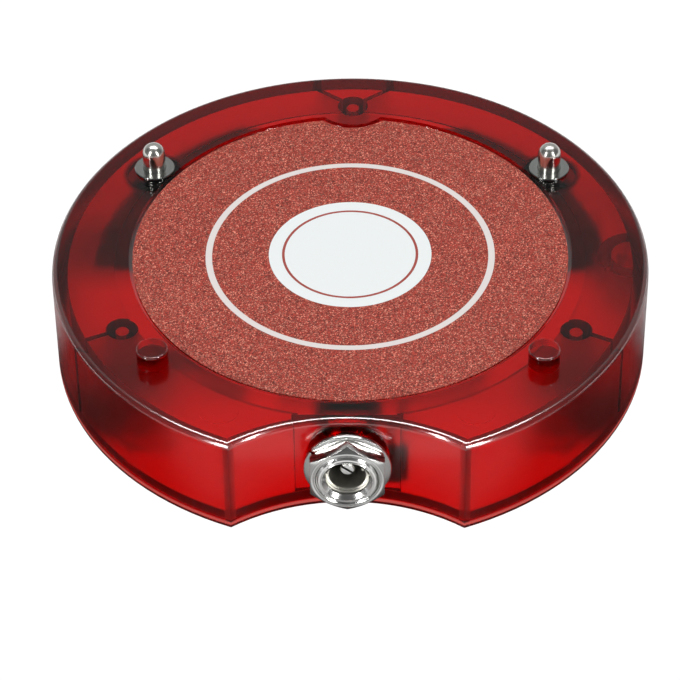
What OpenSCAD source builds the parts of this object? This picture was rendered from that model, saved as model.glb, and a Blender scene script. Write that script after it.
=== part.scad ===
// Coaster pager for a waiting queue: a round case of translucent red plastic with a finger
// notch at the front, a printed label on top, and a battery, receiver, buzzer and motor inside.
// Pagers stack on their charger: pins and posts on top enter cups in the cover of the next one.
// The origin is the centre of the round outline at the bottom face. The label faces +Z and the
// power socket faces -Y. All sizes are in millimetres.

/* [Case] */
// Diameter of the round outline
case_d = 100; // [96:0.5:106]
// Height of the case without its pins and posts
case_h = 18.4; // [17.8:0.1:21]
// Thickness of the side wall
wall_t = 2.6; // [2.2:0.1:3]
// Thickness of the top plate
top_t = 2; // [1.6:0.1:2.4]
// Radius of the rounded top edge
top_round = 1; // [0.6:0.1:1.4]
// Radius of the rounded bottom edge
foot_round = 0.6; // [0.3:0.1:0.8]
// Radius of the finger notch at the front
notch_r = 32.5; // [29:0.5:38]
// Depth of the finger notch, measured from the round outline
notch_depth = 9.6; // [9:0.1:10.4]

// Diameter of the ejector marks under the top plate
mark_d = 6.3; // [5.5:0.1:7]
// Distance of the ejector marks inside the round outline
mark_in = 7.7; // [7:0.1:8.4]
// Direction of the ejector marks, measured from the front
mark_angle = 29; // [28:1:31]

/* [Bottom cover] */
// Thickness of the bottom cover
cover_t = 2.2; // [1.8:0.1:2.6]
// Gap between the bottom cover and the side wall
cover_gap = 0.15; // [0.1:0.05:0.3]
// Diameter of the peg that keys the cover to the shell
key_d = 2.2; // [1.8:0.1:2.6]
// Direction of the key, from the right-hand side
key_angle = 2; // [0:0.5:4]
// Outer radius of the half-round collar that the key enters
collar_r = 5.8; // [5.4:0.1:6.2]
// Wall of the half-round collar
collar_t = 2.3; // [1.9:0.1:2.6]
// Diameter of each sound hole under the buzzer
sound_d = 1.2; // [0.8:0.1:1.6]

/* [Label] */
// Distance of the label's edge inside the round outline
label_in = 13.4; // [13.2:0.1:15]
// Thickness of the label
label_t = 0.4; // [0.2:0.05:0.5]
// Gap between the label's edge and the wall of its recess
label_gap = 0.6; // [0.2:0.1:0.8]
// Depth of the label's recess
recess_depth = 0.7; // [0.55:0.05:0.9]
// Distance of the label's centre behind the middle of the case
label_y = 1.2; // [0.6:0.1:1.6]
// Border of the thick pad beyond the label's edge
pad_border = 3; // [2.4:0.1:3.6]
// Thickness of the plate that is left under the recess
pad_t = 1.8; // [1.5:0.1:2.1]
// Radius of the lobe that keeps the recess clear of the back screw
lobe_r = 6.7; // [6:0.1:7.2]

/* [Case screws] */
// Diameter of each screw boss
boss_d = 5.3; // [4.8:0.1:5.8]
// Diameter of the pilot hole in each boss
pilot_d = 2.2; // [2:0.1:2.4]
// Distance of the back boss inside the round outline
back_boss_in = 7.4; // [7:0.1:8]
// Distance of the front bosses inside the round outline
front_boss_in = 8.9; // [8.4:0.1:9.4]
// Direction of the front bosses, measured from the front
front_boss_angle = 65; // [63:1:67]
// Thickness of the ribs beside the bosses
rib_t = 0.9; // [0.7:0.1:1.2]
// Slope of the two back ribs
back_rib_angle = 37; // [30:1:45]
// Diameter of the screw heads
head_d = 4.6; // [4.2:0.1:5]
// Height of the screw heads
head_h = 1; // [0.8:0.1:1.1]
// Length of the screws under their heads
screw_len = 8; // [6:0.5:10]
// Gap round each screw's shank and head
screw_gap = 0.4; // [0.3:0.05:0.5]

/* [Locating posts] */
// Diameter of the two posts on top
post_d = 5.2; // [4.6:0.1:5.8]
// Height of the posts
post_h = 3; // [2.5:0.1:3.4]
// Radius of the rounded tip of the posts
post_round = 0.3; // [0.1:0.05:0.5]
// Distance of the posts inside the round outline
post_in = 8.7; // [8.3:0.1:9.1]
// Direction of the posts, measured from the front
post_angle = 50; // [48:1:51]
// Gap round a post in its cup, and over its tip
post_gap = 0.35; // [0.2:0.05:0.45]
// Wall of the cups that take the posts
cup_t = 1.3; // [1:0.1:1.6]

/* [Charging pins] */
// Diameter of the sprung pins
pin_d = 3.9; // [3.5:0.1:4.2]
// Height of a pin's tip above its flange
pin_h = 4.9; // [4.5:0.1:5.3]
// Travel of a pin when it is pressed
pin_travel = 1.5; // [1:0.1:1.8]
// Distance of the pins inside the round outline
pin_in = 8.6; // [8.3:0.1:9]
// Direction of the pins, measured from the back
pin_angle = 55.5; // [54:0.5:57]
// Running gap between a pin and its barrel
pin_gap = 0.05; // [0.03:0.01:0.08]
// Diameter of the barrels
barrel_d = 5.6; // [5.4:0.1:6]
// Depth of a barrel below the top face
barrel_len = 9.8; // [9.4:0.1:10.2]
// Length of the lip that holds a pin in its barrel
lip_len = 1.8; // [1.4:0.1:2]
// Diameter of the barrels' flanges
flange_d = 6.9; // [6.6:0.1:7.4]
// Height of the flanges above the top face
flange_h = 0.4; // [0.3:0.05:0.6]
// Diameter of the plastic boss round each barrel
pin_boss_d = 9.4; // [8.8:0.1:10]
// Wire of the pin springs
spring_wire = 0.4; // [0.3:0.05:0.45]
// Width across the flats of the barrels' nuts
pin_nut_af = 7.6; // [7:0.1:8]
// Thickness of the barrels' nuts
pin_nut_t = 1.8; // [1.4:0.1:2]
// Depth at which a pin from below meets its contact plate
contact_depth = 4.3; // [4:0.1:4.8]
// Thickness of the contact plates
contact_t = 0.5; // [0.3:0.1:0.7]

/* [Power socket] */
// Height of the socket's axis
socket_z = 9.4; // [9.2:0.1:9.8]
// Diameter of the socket's threaded barrel
thread_d = 10; // [9.6:0.1:10.4]
// Bore of the socket's barrel
bore_d = 7; // [6.8:0.1:7.4]
// Diameter of the socket's centre pin
center_pin_d = 2.4; // [2:0.1:2.5]
// Distance of the centre pin's tip behind the barrel's front
center_pin_in = 2.8; // [2:0.1:3.4]
// Width across the flats of the socket's nut
nut_af = 12; // [11.6:0.1:13]
// Thickness of the socket's nut
nut_t = 2.6; // [2.2:0.1:2.8]
// Diameter of the split washer
washer_d = 14.2; // [13.8:0.1:14.8]
// Thickness of the split washer
washer_t = 1.1; // [0.8:0.1:1.2]
// Length of thread that stands past the nut
thread_past = 0.2; // [0.1:0.1:0.6]
// Diameter of the socket's flange inside the wall
socket_flange_d = 14; // [13:0.2:14.4]
// Width of the flat facing inside the wall
facing_w = 17.8; // [16:0.2:19]
// Diameter of the socket's black rear body
insulator_d = 11; // [10:0.2:11.6]

/* [Circuit board] */
// Thickness of the circuit board
board_t = 1.6; // [1:0.1:1.8]
// Gap between the board's round edge and the side wall
board_gap = 4.4; // [3.6:0.1:4.8]
// Distance of the board's front edge behind the middle of the case
board_front = 1; // [0:0.5:2]
// Distance of the board's back edge behind the middle of the case
board_back = 38; // [36:0.5:38.5]
// Space between the pad and the board
board_space = 1.3; // [1:0.1:1.4]
// Distance of the board's screws from the middle, to the left and right
board_screw_x = 20; // [19:0.5:21]
// Distance of the board's screws behind its front edge
board_screw_in = 5; // [4.5:0.1:6]
// Diameter of the board's screws
board_screw_d = 1.6; // [1.4:0.1:1.8]
// Diameter of the heads of the board's screws
board_head_d = 3.6; // [3:0.1:4]
// Height of the heads of the board's screws
board_head_h = 1.2; // [0.9:0.1:1.4]
// Width of the controller chip
controller_w = 10; // [8:0.5:10.5]
// Depth of the controller chip
controller_l = 7.5; // [6:0.5:8]
// Width of the receiver module
receiver_w = 8.6; // [7:0.2:9]
// Depth of the receiver module
receiver_l = 4; // [3:0.5:6]
// Height of the chips
chip_h = 1.8; // [1.2:0.1:2]
// Length of the crystal's can
crystal_l = 9.2; // [8:0.2:9.4]
// Width of the crystal's can
crystal_w = 3.2; // [2.8:0.1:3.6]
// Height of the crystal's can
crystal_h = 3.5; // [3:0.1:4]
// Width of each rim lamp
lamp_w = 2.8; // [2.4:0.1:3]
// Length of each rim lamp
lamp_l = 2.6; // [2.2:0.1:3]
// Height of each rim lamp
lamp_h = 1.9; // [1.6:0.1:2.2]
// Distance from a lamp's face to the board's edge
lamp_in = 2; // [1.6:0.1:2.4]
// Diameter of the buzzer
buzzer_d = 12; // [10:0.5:13]
// Height of the buzzer
buzzer_h = 8.5; // [7:0.5:9]
// Wire of the antenna coil
antenna_wire = 0.8; // [0.6:0.1:0.9]
// Mean radius of the antenna coil
antenna_r = 2.2; // [1.8:0.1:2.6]
// Length of the antenna coil
antenna_len = 11; // [10.5:0.5:11.5]

/* [Battery, motor and switch] */
// Width of the battery
battery_w = 32; // [28:0.5:33]
// Depth of the battery from front to back
battery_l = 23; // [20:0.5:23.5]
// Thickness of the battery
battery_h = 6; // [5:0.1:6.2]
// Thickness of the foam tape under the battery
tape_t = 0.8; // [0.5:0.1:1]
// Diameter of the motor
motor_d = 7; // [6.6:0.1:7.4]
// Length of the motor
motor_len = 12; // [11:0.5:13]
// Radius of the motor's eccentric weight
weight_r = 4; // [3.6:0.1:4.2]
// Length of the eccentric weight
weight_len = 4.5; // [4:0.1:4.6]
// Travel of the power switch
switch_travel = 1.8; // [1.4:0.1:2]
// Diameter of the insulated wires
wire_d = 1.2; // [1:0.1:1.3]

/* [Hidden] */
$fn = 64;
case_fn = 180;
eps = 0.01;

// Case
case_r = case_d / 2;
inner_r = case_r - wall_t;
label_r = case_r - label_in;
notch_y = -(case_r - notch_depth) - notch_r;
notch_wall_y = notch_y + notch_r;
notch_inner_y = notch_wall_y + wall_t;
plate_z = case_h - top_t;
pad_z = case_h - recess_depth - pad_t;
recess_z = case_h - recess_depth;

// Screw bosses
back_boss = [0, case_r - back_boss_in];
front_boss_r = case_r - front_boss_in;
front_boss_x = front_boss_r * sin(front_boss_angle);
front_boss_y = -front_boss_r * cos(front_boss_angle);
boss_places = [back_boss, [-front_boss_x, front_boss_y], [front_boss_x, front_boss_y]];
screw_r = pilot_d / 2 - 0.05;
head_seat_z = head_h + 0.15;
pilot_top_z = plate_z - 1;

// Posts and charging pins
post_r = case_r - post_in;
post_x = post_r * sin(post_angle);
post_y = -post_r * cos(post_angle);
cup_r = post_d / 2 + post_gap;
cup_depth = post_h + post_gap;
pin_ring_r = case_r - pin_in;
pin_x = pin_ring_r * sin(pin_angle);
pin_y = pin_ring_r * cos(pin_angle);
flange_z = case_h + flange_h;
barrel_z = case_h - barrel_len;
barrel_floor = 1;
chamber_wall = 0.45;
chamber_r = barrel_d / 2 - chamber_wall;
chamber_z = barrel_z + barrel_floor;
lip_z = flange_z - lip_len;
collar_gap = 0.07;
pin_collar_r = chamber_r - collar_gap;
pin_collar_top = lip_z - 0.05;
pin_collar_h = 2;
spring_top = pin_collar_top - pin_collar_h;
spring_r = chamber_r - spring_wire;
spring_turns = 5;
stop_gap = 0.05;
contact_hole_r = pin_d / 2 + 0.55;
contact_stake_r = 0.6;
contact_plate_r = pin_boss_d / 2 - 0.5;
contact_tab_out = 6.4;
contact_tab_h = 2.7;

// Board
board_z = pad_z - board_space - board_t;
board_top = board_z + board_t;
board_r = inner_r - board_gap;
board_screw_y = board_front + board_screw_in;
board_screw_grip = 1.5;
board_boss_d = board_screw_d + 2.8;
controller_place = [-1, board_front + 14];
receiver_place = [-2, board_back - 10];
crystal_place = [controller_place[0] - controller_w / 2 - crystal_l / 2 - 0.6, board_front + 18];
antenna_start = [-21.5, board_back - 10];
lamp_angles = [17, 24.5, 47];
lens_d = 1.6;
lens_out = 0.9;
barrel_fit = 0.05;

// Power socket, with distances measured along Y
facing_y = notch_inner_y + 0.2;
washer_back_y = notch_y + sqrt(pow(notch_r, 2) - pow(washer_d / 2, 2)) - 0.02;
nut_back_y = washer_back_y - washer_t;
nut_front_y = nut_back_y - nut_t;
socket_front_y = nut_front_y - thread_past;
socket_flange_t = 1.2;
socket_back_y = facing_y + socket_flange_t;
bore_chamfer = 0.6;
insulator_len = 8;
insulator_end_y = socket_back_y + insulator_len;
liner_r = bore_d / 2 - 0.05;
liner_t = 0.45;
plug_depth = 12;
plug_end_y = socket_front_y + plug_depth;
tip_y = socket_front_y + center_pin_in;
pin_tail = 2;
side_box_x = 10.2;
side_box_z = [cover_t + 0.2, cover_t + 6.3];
side_box_len = 2.6;
facing_foot = 0.2;

// Battery, motor and switch
weight_gap = 0.9;
rotor_room = 2.2;
motor_x = -front_boss_x + boss_d / 2 + rotor_room + weight_len + weight_gap + motor_len;
motor_y = -16;
motor_room = 3.5;
tray_gap = 0.3;
tray_t = 1.2;
tray_h = 3;
battery_x = motor_x + motor_room + tray_t + tray_gap + battery_w / 2;
battery_back_y = board_front + 2;
battery_z = cover_t + tape_t;
motor_z = cover_t + weight_r + 0.8;
shaft_d = 1;
shaft_gap = 0.05;
cradle_gap = 0.05;
switch_x = -22;
switch_y = 12;
switch_l = 8.6;
switch_w = 3.6;
switch_h = 3.4;
knob_l = 1.6;
knob_w = 1.6;
slider_l = 3.4;
slider_w = 2.4;
slider_t = 1;
slide_gap = 0.1;
sink_depth = 1.2;
sink_l = 4;
sink_w = 2.4;
buzzer_in = 25;
buzzer_x = board_r - buzzer_in;
buzzer_y = board_front + 21;
buzzer_port_r = 1.3;
buzzer_port_depth = 1.5;
plug_x = battery_x;
plug_w = 6;
plug_l = 4.5;
plug_h = 5;
plug_y = board_front + 3.5;
plug_side = 3.5;
socket_run_x = plug_x + plug_w / 2 + plug_side;

// Shared helpers

// Mirrored copies at x = -dx and x = +dx
module pair(dx, dy, z = 0) {
    for (s = [-1, 1])
        translate([s * dx, dy, z])
            children();
}

// Turns a shape built along +Z to point along -Y, starting at the given y on the socket's axis
module toward_front(y) {
    translate([0, y, socket_z])
        rotate([90, 0, 0])
            children();
}

function arc(cx, cz, r, a0, a1, steps = 8) =
    [for (i = [0:steps]) let (a = a0 + (a1 - a0) * i / steps) [cx + r * cos(a), cz + r * sin(a)]];

// Round solid with rounded edges at its foot and top
module rounded_disc(r, h, foot, top) {
    rotate_extrude($fn = case_fn)
        polygon(concat(
            [[0, 0]],
            arc(r - foot, foot, foot, -90, 0),
            arc(r - top, h - top, top, 0, 90),
            [[0, h]]
        ));
}

// Cutter for the notch that leaves the same rounded edges on what it cuts
module notch_cutter(r, h, foot, top) {
    over = 1;
    translate([0, notch_y, 0])
        rotate_extrude($fn = case_fn)
            polygon(concat(
                [[0, -over], [r + foot, -over]],
                arc(r + foot, foot, foot, -90, -180),
                arc(r + top, h - top, top, 180, 90),
                [[r + top, h + over], [0, h + over]]
            ));
}

// Space inside the side wall, drawn in by gap, between two heights
module inside(gap, z0, z1) {
    difference() {
        translate([0, 0, z0])
            cylinder(r = inner_r - gap, h = z1 - z0, $fn = case_fn);
        translate([0, notch_y, z0 - eps])
            cylinder(r = notch_r + wall_t + gap, h = z1 - z0 + 2 * eps, $fn = case_fn);
    }
}

module ring(r_out, r_in, h) {
    difference() {
        cylinder(r = r_out, h = h);
        translate([0, 0, -eps])
            cylinder(r = r_in, h = h + 2 * eps);
    }
}

module box(size, center_xy) {
    translate([center_xy[0] - size[0] / 2, center_xy[1] - size[1] / 2, 0])
        cube(size);
}

// Wires and coils

function unit(v) = v / norm(v);

function heading(p, i) = unit(p[min(i + 1, len(p) - 1)] - p[max(i - 1, 0)]);

// Side directions carried along a path without twist
function carried(p, i, s) =
    i == len(p) ? [] : let (t = heading(p, i), n = unit(s - (s * t) * t)) concat([n], carried(p, i + 1, n));

function blend(a, b, c, d, t) =
    0.5 * (2 * b + (c - a) * t + (2 * a - 5 * b + 4 * c - d) * t * t + (3 * b - a - 3 * c + d) * t * t * t);

// Smooth curve through chosen points, straight between the first two and the last two
function route(p, steps = 4) =
    let (n = len(p) - 1)
    concat(
        [p[0]],
        [for (i = [1:n - 2], s = [0:steps - 1]) blend(p[i - 1], p[i], p[i + 1], p[i + 2], s / steps)],
        [p[n - 1], p[n]]
    );

function coil(r, z0, z1, turns, steps = 8) =
    let (rise = (z1 - z0) / (turns * steps))
    [for (i = [0:turns * steps]) let (a = 360 * i / steps) [r * cos(a), r * sin(a), z0 + rise * i]];

function least_gap(p, d, apart) =
    min([for (i = [0:len(p) - 1 - apart], j = [i + apart:len(p) - 1]) norm(p[i] - p[j])]) - d;

module tube(p, d, sides, side = [1, 0, 0]) {
    s = carried(p, 0, side);
    rings = len(p);
    points = [
        for (i = [0:rings - 1])
            let (t = heading(p, i), b = cross(t, s[i]))
            for (k = [0:sides - 1])
                p[i] + d / 2 * (cos(360 * k / sides) * s[i] + sin(360 * k / sides) * b)
    ];
    walls = [
        for (i = [0:rings - 2], k = [0:sides - 1])
            let (a = i * sides + k, b = i * sides + (k + 1) % sides)
            for (f = [[a, a + sides, b], [b, a + sides, b + sides]])
                f
    ];
    foot = [for (k = [1:sides - 2]) [0, k, k + 1]];
    last = (rings - 1) * sides;
    tip = [for (k = [1:sides - 2]) [last, last + k + 1, last + k]];
    polyhedron(points, concat(walls, foot, tip));
}

// Case

module top_shell() {
    color("firebrick")
        difference() {
            union() {
                shell_wall();
                label_pad();
                screw_bosses();
                board_bosses();
                pair(pin_x, pin_y, board_top)
                    cylinder(d = pin_boss_d, h = plate_z - board_top + eps);
                pair(post_x, post_y, case_h - eps)
                    locating_post();
                socket_facing();
                key_collar();
            }
            label_recess(case_h);
            pair(pin_x, pin_y, board_top - 1)
                cylinder(d = barrel_d + 2 * barrel_fit, h = case_h);
            for (p = boss_places)
                translate([p[0], p[1], cover_t - eps])
                    cylinder(d = pilot_d, h = pilot_top_z - cover_t);
            pair(board_screw_x, board_screw_y, board_top - eps)
                cylinder(d = board_screw_d + 0.1, h = board_screw_grip + 0.2);
            toward_front(facing_y + 1)
                cylinder(d = thread_d + 0.2, h = wall_t + 4);
            ejector_marks();
        }
}

module shell_wall() {
    difference() {
        rounded_disc(case_r, case_h, foot_round, top_round);
        notch_cutter(notch_r, case_h, foot_round, top_round);
        inside(0, -1, plate_z);
    }
}

module label_pad() {
    intersection() {
        translate([0, label_y, pad_z])
            cylinder(r = label_r + pad_border, h = plate_z - pad_z + eps, $fn = case_fn);
        inside(-eps, pad_z, plate_z + eps);
    }
}

// Space over the recess floor, or over the label when it is drawn in by its gap
module label_recess(top, gap = 0) {
    difference() {
        translate([0, label_y, recess_z])
            cylinder(r = label_r + label_gap - gap, h = top - recess_z + 1, $fn = case_fn);
        translate([back_boss[0], back_boss[1], recess_z - 1])
            cylinder(r = lobe_r + gap, h = top - recess_z + 3);
    }
}

module screw_bosses() {
    intersection() {
        for (p = boss_places)
            translate([p[0], p[1], cover_t])
                cylinder(d = boss_d, h = plate_z - cover_t + eps);
        inside(-wall_t / 2, cover_t, plate_z + eps);
    }
    intersection() {
        union() {
            for (a = [back_rib_angle, 180 - back_rib_angle])
                boss_rib(back_boss, a);
            for (s = [-1, 1])
                boss_rib([s * front_boss_x, front_boss_y], atan2(front_boss_y, s * front_boss_x));
        }
        inside(-wall_t / 2, cover_t, plate_z + eps);
    }
}

module boss_rib(place, angle) {
    rib_reach = 12;
    translate([place[0], place[1], cover_t])
        rotate([0, 0, angle])
            translate([pilot_d / 2 + 0.4, -rib_t / 2, 0])
                cube([rib_reach, rib_t, plate_z - cover_t + eps]);
}

module board_bosses() {
    pair(board_screw_x, board_screw_y, board_top)
        cylinder(d = board_boss_d, h = pad_z - board_top + eps);
}

module locating_post() {
    rotate_extrude()
        polygon(concat(
            [[0, 0], [post_d / 2, 0]],
            arc(post_d / 2 - post_round, post_h + eps - post_round, post_round, 0, 90),
            [[0, post_h + eps]]
        ));
}

// Flat facing that the socket's flange bears on
module socket_facing() {
    intersection() {
        translate([-facing_w / 2, notch_wall_y - 4, cover_t + facing_foot])
            cube([facing_w, facing_y - notch_wall_y + 4, plate_z - cover_t - facing_foot + eps]);
        inside(-wall_t / 2, cover_t, plate_z + eps);
    }
}

module key_collar() {
    foot_gap = 1.6;
    intersection() {
        rotate([0, 0, key_angle])
            translate([inner_r, 0, cover_t + foot_gap])
                ring(collar_r, collar_r - collar_t, plate_z - cover_t - foot_gap + eps);
        inside(-wall_t / 2, cover_t, plate_z + eps);
    }
}

// Round marks that the ejector pins left on the underside of the plate
module ejector_marks() {
    mark_depth = 0.15;
    mark_r = case_r - mark_in;
    pair(mark_r * sin(mark_angle), -mark_r * cos(mark_angle), plate_z - eps)
        cylinder(d = mark_d, h = mark_depth + eps);
}

module bottom_cover() {
    edge = 0.4;
    color("firebrick")
        difference() {
            union() {
                difference() {
                    rounded_disc(inner_r - cover_gap, cover_t, edge, eps);
                    notch_cutter(notch_r + wall_t + cover_gap, cover_t, edge, eps);
                }
                contact_cups();
                pair(post_x, post_y)
                    cylinder(r = cup_r + cup_t, h = cup_depth + cup_t);
                key_peg();
                battery_tray();
                motor_cradle();
            }
            pair(post_x, post_y, -eps)
                cylinder(r = cup_r, h = cup_depth + eps);
            pair(pin_x, pin_y, -1)
                cylinder(r = contact_hole_r, h = contact_depth + 2);
            pair(pin_x, pin_y, -1)
                cylinder(d = flange_d + 1, h = flange_h + 1.3);
            for (p = boss_places)
                translate([p[0], p[1], -1])
                    screw_hole();
            switch_opening();
            sound_holes();
        }
}

module screw_hole() {
    cylinder(d = pilot_d + 2 * screw_gap, h = cover_t + 2);
    cylinder(d = head_d + 2 * screw_gap, h = head_seat_z + 1);
}

module contact_cups() {
    pair(pin_x, pin_y)
        cylinder(d = pin_boss_d, h = contact_depth);
    for (s = [-1, 1])
        at_contact(s)
            for (t = [-1, 1])
                translate([0, t * (contact_plate_r - 1), contact_depth - 1])
                    cylinder(r = contact_stake_r, h = contact_t + 1.4);
}

// Frame at a contact, with +X pointing to the middle of the case
module at_contact(s) {
    translate([s * pin_x, pin_y, 0])
        rotate([0, 0, atan2(-pin_y, -s * pin_x)])
            children();
}

module key_peg() {
    stand_in = 0.35;
    rotate([0, 0, key_angle])
        translate([inner_r - cover_gap - key_d / 2 - stand_in, 0, 0])
            cylinder(d = key_d, h = plate_z - 0.8);
}

module battery_tray() {
    w = battery_w + 2 * tray_gap;
    l = battery_l + 2 * tray_gap;
    middle = [battery_x, battery_back_y - battery_l / 2];
    difference() {
        box([w + 2 * tray_t, l + 2 * tray_t, cover_t + tray_h], middle);
        translate([0, 0, cover_t])
            box([w, l, tray_h + 1], middle);
    }
}

module motor_cradle() {
    arm = 1.3;
    grip = 1.4;
    difference() {
        translate([motor_x - motor_len + 2, motor_y - motor_d / 2 - arm, 0])
            cube([motor_len - 4, motor_d + 2 * arm, motor_z + grip]);
        translate([motor_x - motor_len, motor_y, motor_z])
            rotate([0, 90, 0])
                cylinder(d = motor_d + 2 * cradle_gap, h = motor_len);
        translate([motor_x - motor_len, motor_y - motor_d * 0.46, motor_z])
            cube([motor_len, motor_d * 0.92, motor_d]);
    }
}

module switch_opening() {
    slot_l = knob_l + switch_travel + 4 * slide_gap;
    slot_w = knob_w + 4 * slide_gap;
    translate([0, 0, -1])
        box([slot_l, slot_w, cover_t + 2], [switch_x + switch_travel / 2, switch_y]);
    translate([0, 0, -1])
        box([slot_l + sink_l, slot_w + sink_w, sink_depth + 1], [switch_x + switch_travel / 2, switch_y]);
}

module sound_holes() {
    spread = 2.6;
    translate([buzzer_x, buzzer_y, -1])
        for (a = [0:60:359])
            rotate([0, 0, a])
                translate([spread, 0, 0])
                    cylinder(d = sound_d, h = cover_t + 2, $fn = 24);
}

module case_screws() {
    color("silver")
        for (p = boss_places)
            translate([p[0], p[1], 0])
                cover_screw();
}

// Pan-head screw with a cross recess, driven from below
module cover_screw() {
    slot = 0.6;
    difference() {
        union() {
            translate([0, 0, head_seat_z - head_h])
                cylinder(d1 = head_d - 0.8, d2 = head_d, h = 0.4, $fn = 48);
            translate([0, 0, head_seat_z - head_h + 0.4])
                cylinder(d = head_d, h = head_h - 0.4, $fn = 48);
            translate([0, 0, head_seat_z - eps])
                cylinder(r = screw_r, h = screw_len - 1, $fn = 32);
            translate([0, 0, head_seat_z + screw_len - 1 - 2 * eps])
                cylinder(r1 = screw_r, r2 = 0.3, h = 1, $fn = 32);
        }
        for (a = [0, 90])
            rotate([0, 0, a])
                translate([-1.2, -slot / 2, -1])
                    cube([2.4, slot, head_seat_z - head_h + 1.5]);
    }
}

module label_film() {
    color("indianred")
        intersection() {
            label_recess(case_h, label_gap);
            translate([0, label_y, recess_z])
                cylinder(r = label_r + label_gap, h = label_t, $fn = case_fn);
        }
}

// Charging pins and contacts

module charge_pin(s) {
    color("gainsboro")
        translate([s * pin_x, pin_y, 0]) {
            translate([0, 0, spring_top])
                cylinder(r = pin_collar_r, h = pin_collar_h);
            translate([0, 0, chamber_z + pin_travel + stop_gap])
                cylinder(r = spring_r - spring_wire, h = spring_top - chamber_z - pin_travel, $fn = 32);
            translate([0, 0, pin_collar_top - eps])
                cylinder(d = pin_d, h = flange_z + pin_h - pin_d / 2 - pin_collar_top + eps);
            translate([0, 0, flange_z + pin_h - pin_d / 2])
                rotate_extrude()
                    intersection() {
                        circle(d = pin_d);
                        square([pin_d, pin_d]);
                    }
        }
}

module pin_barrel(s) {
    brim = 0.1;
    color("silver")
        translate([s * pin_x, pin_y, 0])
            difference() {
                union() {
                    translate([0, 0, barrel_z])
                        cylinder(d = barrel_d, h = barrel_len + eps);
                    translate([0, 0, case_h])
                        cylinder(d = flange_d, h = flange_h - brim);
                    translate([0, 0, flange_z - brim])
                        cylinder(d1 = flange_d, d2 = flange_d - 2 * brim, h = brim);
                }
                translate([0, 0, lip_z - 1])
                    cylinder(d = pin_d + 2 * pin_gap, h = lip_len + 2);
                translate([0, 0, chamber_z])
                    cylinder(r = chamber_r, h = lip_z - chamber_z);
            }
}

function spring_path() =
    concat(
        [[spring_r, 0, chamber_z]],
        coil(spring_r, chamber_z + spring_wire, spring_top - spring_wire, spring_turns),
        [[spring_r, 0, spring_top]]
    );

module pin_spring(s) {
    path = spring_path();
    echo(pin_spring_least_gap = least_gap(path, spring_wire, 6));
    color("dimgray")
        translate([s * pin_x, pin_y, 0])
            tube(path, spring_wire, 6);
}

module pin_nut(s) {
    color("gold")
        translate([s * pin_x, pin_y, board_z - pin_nut_t])
            difference() {
                cylinder(d = pin_nut_af / cos(30), h = pin_nut_t, $fn = 6);
                translate([0, 0, -1])
                    cylinder(d = barrel_d + 2 * barrel_fit, h = pin_nut_t + 2);
            }
}

// Plate on the cup's rim that the pin of a pager below presses on, with a tab for its wire
module contact_plate(s) {
    color("gold")
        at_contact(s)
            difference() {
                union() {
                    translate([0, 0, contact_depth])
                        cylinder(r = contact_plate_r, h = contact_t);
                    translate([0, -1, contact_depth])
                        cube([contact_tab_out + 1, 2, contact_t]);
                    translate([contact_tab_out - 1, -1, contact_depth])
                        cube([2, 2, contact_tab_h]);
                }
                for (t = [-1, 1])
                    translate([0, t * (contact_plate_r - 1), contact_depth - 1])
                        cylinder(r = contact_stake_r + 0.05, h = contact_t + 2);
            }
}

// Power socket

module socket_barrel() {
    color("silver")
        intersection() {
            toward_front(socket_back_y)
                difference() {
                    union() {
                        cylinder(d = socket_flange_d, h = socket_flange_t);
                        cylinder(d = thread_d, h = socket_back_y - socket_front_y - 0.3);
                        translate([0, 0, socket_back_y - socket_front_y - 0.3])
                            cylinder(d1 = thread_d, d2 = thread_d - 0.6, h = 0.3);
                    }
                    translate([0, 0, -1])
                        cylinder(d = bore_d, h = socket_back_y - socket_front_y + 2);
                    translate([0, 0, socket_back_y - socket_front_y - bore_chamfer])
                        cylinder(d1 = bore_d, d2 = bore_d + 2 * bore_chamfer, h = bore_chamfer + eps);
                }
            flat_half = min(socket_z - cover_t - 0.6, pad_z - 0.3 - socket_z);
            translate([-case_r, socket_front_y - 1, socket_z - flat_half])
                cube([case_d, case_r, 2 * flat_half]);
        }
}

module socket_insulator() {
    color("black")
        difference() {
            union() {
                toward_front(insulator_end_y)
                    cylinder(d = insulator_d, h = insulator_len);
                toward_front(socket_back_y + eps)
                    cylinder(r = liner_r, h = socket_back_y - socket_front_y - 1.6);
                translate([0, socket_back_y, side_box_z[0]])
                    cube([side_box_x, side_box_len, side_box_z[1] - side_box_z[0]]);
            }
            toward_front(plug_end_y)
                cylinder(r = liner_r - liner_t, h = plug_depth);
            toward_front(insulator_end_y + 1)
                cylinder(d = center_pin_d, h = insulator_len);
            contact_slot();
        }
}

// Room in the insulator for the contact's rear end
module contact_slot() {
    translate([liner_r - liner_t - 0.7, plug_end_y - eps, socket_z - 0.8])
        cube([0.3, 2, 1.6]);
}

module socket_center_pin() {
    slot_w = 0.4;
    slot_l = 3;
    slot_turn = -38;
    color("silver")
        difference() {
            union() {
                toward_front(insulator_end_y + pin_tail)
                    cylinder(d = center_pin_d, h = insulator_end_y + pin_tail - tip_y - 0.2, $fn = 48);
                toward_front(tip_y + 0.2)
                    cylinder(d1 = center_pin_d, d2 = center_pin_d - 0.4, h = 0.2, $fn = 48);
            }
            toward_front(tip_y + slot_l)
                rotate([0, 0, slot_turn])
                    translate([-center_pin_d, -slot_w / 2, 0])
                        cube([2 * center_pin_d, slot_w, slot_l + 1]);
        }
}

// Leaf spring along the right-hand side of the bore
module socket_contact() {
    leaf_t = 0.3;
    leaf_in = 3.4;
    color("gainsboro")
        translate([liner_r - liner_t - 0.7, socket_front_y + leaf_in, socket_z - 0.8])
            cube([leaf_t, plug_end_y + 2 - socket_front_y - leaf_in - eps, 1.6]);
}

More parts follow.
